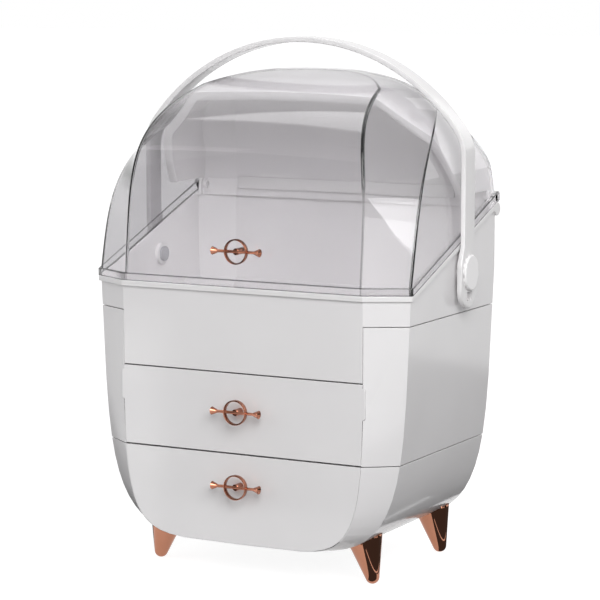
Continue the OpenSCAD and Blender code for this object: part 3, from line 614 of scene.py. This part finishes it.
hood = behind_mouth("rear_hood_shell", hood_in, 0.0, hood_z)
wall_back = hood_wall / math.cos(mouth_lean)
hollow = behind_mouth("hood_hollow", hood_in + hood_wall, wall_back, hood_z - past_foot)
join_solids(hood, hollow, "DIFFERENCE")
opening = behind_mouth("hood_mouth", hood_in + hood_rim, -past_mouth, hood_z - past_foot)
join_solids(hood, opening, "DIFFERENCE")
join_solids(hood, lip_bar(hood_z - lip_deep, lip_y), "UNION")
join_solids(hood, lip_bar(hood_z, lip_root_y), "UNION")
round_edges(hood, hood_round * mm, angle=50)
smooth(hood, angle=35)
hood.data.materials.append(moulded_white("hood_white", (0.76, 0.748, 0.753), roughness=0.22))
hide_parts("rear_hood")
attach(hood, "cabinet")


# ---- Dust cover ----
# The tip-up front of the dome: one lofted shell of clear plastic with a light smoke tint, 2.5 mm
# thick, with a solid flange along the rim and an ear at each rear corner that turns on a hinge pin.
cover_wall, flange_out, flange_thick, flange_thick_rear, flange_round = 2.5, 2.0, 7.0, 8.5, 0.6
flange_half, flange_front = rim_half + flange_out, front_y - flange_out
flange_face_x, flange_side, flange_low = 121.0, -78.7, rim_z - flange_thick
flange_layers, flange_bevel_from, full_width_from, same_x = (0.0, 0.2, 0.8, 1.0), 60, 150, 0.001
hinge_y, hinge_rise = 98.0, 67.72
hinge_z = rim_z + hinge_rise - flange_thick / 2
low_rise = hinge_rise - (flange_thick_rear - flange_thick)
low_tilt = math.atan2(low_rise, hinge_y - slope_y)
ear_radius, ear_bore, ear_inner_x, ear_skin, bore_past, ear_sides = 5.0, 2.05, 153.1, 1.5, 8, 48


def flange_heights(y):
    # bottom and top of the flange, which rise from the front facets to the hinge
    along = max(0.0, (y - slope_y) / (hinge_y - slope_y))
    return flange_low + low_rise * along, rim_z + hinge_rise * along


def flange_slab():
    # plan of the flange, raised to its sloping bottom and top, with its outer edges rounded
    right = [
        (flange_face_x, flange_front), (flange_half, flange_side), (flange_half, slope_y),
        (flange_half, hinge_y)]
    plan = [(-x, y) for x, y in right[::-1]] + right
    points = []
    for part in flange_layers:
        for x, y in plan:
            low, high = flange_heights(y)
            points.append((x, y, low + (high - low) * part))
    n, count = len(plan), len(flange_layers)
    top = (count - 1) * n
    # as points of the plan: level in front of slope_y, and sloping behind it
    bottom_faces = [(1, 2, 3, 4, 5, 6), (0, 1, 6, 7)]
    top_faces = [tuple(top + k for k in face[::-1]) for face in bottom_faces]
    slab = solid_from("flange_slab", points, bottom_faces + top_faces + ring_faces(n, count))
    open_mesh(slab, select="DESELECT")
    shape = bmesh.from_edit_mesh(slab.data)
    for edge in shape.edges:
        one, other = [v.co for v in edge.verts]
        full_width = abs(one.x + other.x) < same_x * mm and abs(one.x) > full_width_from * mm
        edge.select = not full_width and edge.calc_face_angle() > math.radians(flange_bevel_from)
    bmesh.update_edit_mesh(slab.data)
    bpy.ops.mesh.bevel(offset=flange_round * mm, segments=round_segments)
    close_mesh()
    return slab


def hinge_cylinder(side, inner_x, outer_x, radius):
    # a cylinder on the hinge line
    bpy.ops.object.select_all(action="DESELECT")
    middle = side * (inner_x + outer_x) / 2
    bpy.ops.mesh.primitive_cylinder_add(
        vertices=ear_sides, radius=radius * mm, depth=(outer_x - inner_x) * mm,
        location=(middle * mm, hinge_y * mm, hinge_z * mm), rotation=(0, math.pi / 2, 0))
    bpy.ops.object.transform_apply()
    return bpy.context.object


cover = dome_solid("dust_cover_shell", 0.0)
cut(cover, (0, 0, flange_low), (0, 0, -1))
cut(cover, (0, slope_y, flange_low), (0, math.sin(low_tilt), -math.cos(low_tilt)))
join_solids(cover, flange_slab(), "UNION")
join_solids(cover, dome_solid("cover_hollow", cover_wall), "DIFFERENCE")
cut(cover, (0, hinge_y, 0), (0, 1, 0))
for side in (-1, 1):
    join_solids(cover, hinge_cylinder(side, ear_inner_x, flange_half, ear_radius), "UNION")
for side in (-1, 1):
    bore = hinge_cylinder(side, ear_inner_x - bore_past, flange_half - ear_skin, ear_bore)
    join_solids(cover, bore, "DIFFERENCE")
smooth(cover, angle=38)

# how wide and how dark the painted shade along the creases is; a crease's band of painted shade is so many
# times crease_half wide
flange_band, flange_shade = 0.9, 0.9
thin_shade_band, wide_shade_band, wide_from = 0.75, 1.2, 0.5
front_shade, front_grows_from, front_growth, crest_fade = 0.55, 0.45, 4, 12
side_shade, side_fades_at, side_fade = 0.35, 0.9, 8
highest_s, halvings = 0.999, 20


def flange_edge(x, y, z):
    # true on the outer edges of the flange's bottom and top
    low, high = flange_heights(y)
    facet_x, facet_y = flange_half - flange_face_x, flange_side - flange_front
    slant = ((flange_half - abs(x)) * facet_y - (flange_side - y) * facet_x) / math.hypot(facet_x, facet_y)
    outline = min(flange_half - abs(x), y - flange_front, slant)
    return outline < flange_band and min(z - low, high - z) < flange_band


def level_at(x, z, inset):
    # the dome's s at a height, found by halving
    low, high = 0.0, highest_s
    for _ in range(halvings):
        s = (low + high) / 2
        if rim_z + s * (dome_h - inset) + crown_rise(s, x) < z:
            low = s
        else:
            high = s
    return s


def painted_crease_shade(x, y, z):
    # how dark the painted shade is at a point: the flange's edges are dark, the front creases darken
    # upwards and the side creases darken downwards, on the outer and on the inner face
    if flange_edge(x, y, z):
        return flange_shade
    for inset in (0.0, cover_wall):
        s = level_at(x, z, inset)
        corners = dome_corners(s, inset)
        from_front, from_side = [math.hypot(abs(x) - c[0], y - c[1]) for c in corners[1:3]]
        if from_front < (wide_shade_band if s > wide_from else thin_shade_band) * crease_half:
            return min(1.0, front_shade + max(0.0, s - front_grows_from) * front_growth, (1 - s) * crest_fade)
        if from_side < thin_shade_band * crease_half:
            return min(1.0, max(side_shade, (side_fades_at - s) * side_fade))
    return 0.0


# painted shade: how dark each point is along the creases and the flange edges, kept in the crease attribute
crease_shade = cover.data.attributes.new("crease", "FLOAT", "POINT")
crease_shade.data.foreach_set("value", [painted_crease_shade(*(v.co / mm)) for v in cover.data.vertices])


def smoke_plastic():
    # clear plastic with painted shade along its creases and flange edges, in place of the dark reflections
    # there; its shadow is a thin even tint
    clear_tint, deep_tint, painted_shade_color = (0.70, 0.692, 0.703), (0.68, 0.672, 0.684), (0.0006, 0.0006, 0.0007)
    clear_ior, wave_relief, wave_depth, shadow_tint = 1.45, 0.05, 0.0003, (0.91, 0.91, 0.915, 1)
    paint, nodes, links, glass = new_paint("clear_smoke")
    glass.inputs["Transmission Weight"].default_value = 1.0
    glass.inputs["IOR"].default_value = clear_ior
    where = nodes.new("ShaderNodeTexCoord").outputs["Object"]
    crease_shade_mask = nodes.new("ShaderNodeAttribute")
    crease_shade_mask.attribute_name = "crease"
    cloud = spread(nodes, links, noise(nodes, links, where, scale=9.0, detail=2.0), low=0.3, high=0.7)
    tint = mix_colors(nodes, links, cloud, clear_tint, deep_tint)
    # painted shade: the crease attribute darkens the tint to near black
    shaded_tint = mix_colors(nodes, links, crease_shade_mask.outputs["Fac"], tint, painted_shade_color)
    links.new(shaded_tint, glass.inputs["Base Color"])
    links.new(spread(nodes, links, cloud, to_low=0.008, to_high=0.030), glass.inputs["Roughness"])
    bump = nodes.new("ShaderNodeBump")
    bump.inputs["Strength"].default_value = wave_relief
    bump.inputs["Distance"].default_value = wave_depth
    links.new(noise(nodes, links, where, scale=22.0, detail=1.0), bump.inputs["Height"])
    links.new(bump.outputs["Normal"], glass.inputs["Normal"])
    shadow = nodes.new("ShaderNodeBsdfTransparent")
    shadow.inputs["Color"].default_value = shadow_tint
    shadow_ray = nodes.new("ShaderNodeLightPath").outputs["Is Shadow Ray"]
    surface = nodes["Material Output"].inputs["Surface"]
    mix_shaders(nodes, links, shadow_ray, glass.outputs[0], shadow.outputs[0], surface)
    return paint


cover.data.materials.append(smoke_plastic())
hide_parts("dust_cover")
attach(cover, "cover")


# ---- Carry handle ----
# A moulded white arch that swings on two steel pins. Its arms widen to paddles whose windows and pins
# lie under softly domed caps, and the long edges carry a narrow chamfer.
handle_white = moulded_white("handle_white", (0.79, 0.779, 0.783), roughness=0.16, relief=0.08)
strap = copy_node("carry_handle", "carry_handle_arch", "handle")
smooth(strap, angle=32)
even_normals(strap)
strap.data.materials.append(handle_white)
# painted light: the caps get a whiter colour than the handle, standing in for the light that falls on them
lit_cap_white = moulded_white("pivot_cap_lit_white", (0.94, 0.928, 0.932), roughness=0.20, highlight=0.6, relief=0.08)
for side in ("left", "right"):
    cap = copy_node("pivot_cap_" + side, "pivot_cap_cover_" + side, "handle")
    smooth(cap, angle=40)
    even_normals(cap)
    cap.data.materials.append(lit_cap_white)


# ---- Pulls ----
# Each pull is a short piece of brass tube standing on its edge with a thin flared bar through it, on
# a round stem. All of it is polished and plated in rose gold and held by one screw from inside.
# Sizes are in metres.
ring_outer, ring_wall, ring_depth, ring_round = 0.0225, 0.0013, 0.004, 0.0003
bar_length, bar_thick, flare_wide, flare_long = 0.0475, 0.0027, 0.00748, 0.0055
flare_lip, flare_edge, flare_corner, flare_foot, flare_root = 0.0004, 0.0001, 0.0003, 0.001, 0.0002
hollow_share, shoulder_share, neck_share, root_share = 0.5, 0.93, 1.5, 0.6
stem_thick, stem_round, bar_out, plating_depth = 0.006, 0.0003, 0.00925, 0.00005
tube_sides, spin_steps, spin_merge = 96, 48, 0.000002


def plating_group():
    # plated metal: a slightly cloudy gloss, faint polishing lines and a tone that shifts a little
    color, number = "NodeSocketColor", "NodeSocketFloat"
    group, given, out = group_start(
        "plated_metal",
        (("Color", color, (0.7, 0.4, 0.3, 1)), ("Roughness", number, 0.1), ("Cloud", number, 1.0)),
        (("Color", color), ("Roughness", number), ("Height", number)))
    nodes, links = group.nodes, group.links
    dark_value, dark_saturation, least_gloss, cloud_gloss, line_stretch = 0.86, 1.06, 0.75, 0.5, 0.06
    where = nodes.new("ShaderNodeTexCoord").outputs["Object"]
    stretch = nodes.new("ShaderNodeMapping")
    stretch.inputs["Scale"].default_value = (1.0, 1.0, line_stretch)
    links.new(where, stretch.inputs["Vector"])
    cloud = spread(nodes, links, noise(nodes, links, where, scale=60.0, detail=3.0), low=0.3, high=0.7)
    shift = calculate(nodes, links, "MULTIPLY", cloud, given["Cloud"])
    darker = toned(nodes, links, given["Color"], dark_value, dark_saturation)
    links.new(mix_colors(nodes, links, shift, given["Color"], darker), out["Color"])
    uneven = calculate(nodes, links, "MULTIPLY_ADD", cloud, cloud_gloss, least_gloss)
    links.new(calculate(nodes, links, "MULTIPLY", uneven, given["Roughness"]), out["Roughness"])
    links.new(noise(nodes, links, stretch.outputs["Vector"], scale=1400.0, detail=1.0), out["Height"])
    return group


plated_metal = plating_group()


def plated(name, color, roughness, cloud, relief):
    paint, shader = finished(
        name, plated_metal, relief, plating_depth, Color=(*color, 1), Roughness=roughness, Cloud=cloud)
    shader.inputs["Metallic"].default_value = 1.0
    return paint


def spun(name, profile, axis, place):
    # a round solid: the profile, as (radius, distance along the axis), spun about the axis
    along = Vector(axis).normalized()
    out = along.orthogonal().normalized()
    place = Vector(place)
    points = [place + out * r + along * d for r, d in profile]
    piece = new_object(name, points, [(k, k + 1) for k in range(len(points) - 1)], [])
    open_mesh(piece)
    bpy.ops.mesh.spin(steps=spin_steps, angle=2 * math.pi, center=place, axis=along)
    bpy.ops.mesh.select_all(action="SELECT")
    bpy.ops.mesh.remove_doubles(threshold=spin_merge)
    bpy.ops.mesh.normals_make_consistent(inside=False)
    close_mesh()
    return piece


def pull_ring(name, place):
    # the tube, with its wall and its rounded edges
    bpy.ops.object.select_all(action="DESELECT")
    bpy.ops.mesh.primitive_cylinder_add(
        vertices=tube_sides, radius=ring_outer / 2, depth=ring_depth, end_fill_type="NOTHING",
        location=place, rotation=(math.pi / 2, 0, 0))
    bpy.ops.object.transform_apply()
    ring = bpy.context.object
    ring.name = name
    apply_modifier(ring, "SOLIDIFY", thickness=ring_wall, offset=-1)
    round_edges(ring, ring_round)
    return ring


def pull_bar(name, place):
    # the bar, whose flares are hollow at their ends, and the stem that carries it
    half, thin, wide, stem = bar_length / 2, bar_thick / 2, flare_wide / 2, stem_thick / 2
    hollow_end, flare_start, root = half - flare_long / 2, half - flare_long, thin * root_share
    right = [
        (0, hollow_end), (thin * hollow_share, hollow_end + flare_lip),
        (wide - flare_lip, half - flare_edge), (wide - flare_edge, half), (wide, half - flare_corner),
        (wide * shoulder_share, half - 2 * flare_lip), (thin * neck_share, flare_start + flare_foot),
        (thin, flare_start - flare_root)]
    bar = spun(name, right + [(r, -d) for r, d in right[::-1]], (1, 0, 0), place)
    stem_profile = [
        (0, -root), (stem - flare_lip, -root), (stem, flare_lip - root), (stem, bar_out - stem_round),
        (stem - stem_round, bar_out), (0, bar_out)]
    join_solids(bar, spun(name + "_stem", stem_profile, (0, 1, 0), place), "UNION")
    return bar


pull_metal = plated("pull_rose_gold", (0.39, 0.17, 0.112), roughness=0.07, cloud=0.8, relief=0.1)
for level, body in (("cover", "cover"), ("middle", "middle_drawer"), ("lower", "lower_drawer")):
    low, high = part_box(level + "_pull_ring")
    place = (0, (low[1] + high[1]) / 2, (low[2] + high[2]) / 2)
    ring = pull_ring(level + "_pull_tube", place)
    bar = pull_bar(level + "_pull_rod", place)
    for piece, node in ((ring, level + "_pull_ring"), (bar, level + "_pull_bar")):
        smooth(piece, angle=35)
        piece.data.materials.append(pull_metal)
        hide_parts(node)
        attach(piece, body)


# ---- Feet ----
# Four tapered feet, moulded and vacuum plated to a rose gold mirror. They lean outwards, end in a
# rounded tip with a small flat, and are held under the cabinet by a screw each.
foot_metal = plated("foot_rose_gold", (0.43, 0.196, 0.126), roughness=0.05, cloud=0.5, relief=0.0)
for corner in ("front_left", "front_right", "rear_left", "rear_right"):
    foot = copy_node("foot_" + corner, "foot_" + corner + "_plated", "cabinet")
    smooth(foot, angle=35)
    foot.data.materials.append(foot_metal)


# ---- Screws and pins ----
# Plain steel screws hold casings, fronts, pulls and feet. The handle turns on steel pins with flat
# heads, and the cover on two short pins moulded in white plastic.
screw_metal = plated("screw_steel", (0.56, 0.57, 0.59), roughness=0.28, cloud=0.6, relief=0.4)
pin_metal = plated("pivot_steel", (0.60, 0.61, 0.63), roughness=0.20, cloud=0.5, relief=0.3)
pin_white = moulded_white(
    "hinge_pin_white", (0.79, 0.786, 0.78), roughness=0.25, tone=0.3, highlight=0.4, relief=0.15)
for node, piece in cad.items():
    finish = None
    if node.startswith("handle_pivot"):
        finish = pin_metal
    elif node.startswith("hinge_pin"):
        finish = pin_white
    elif "screw" in node:
        finish = screw_metal
    if finish:
        piece.data.materials.clear()
        piece.data.materials.append(finish)
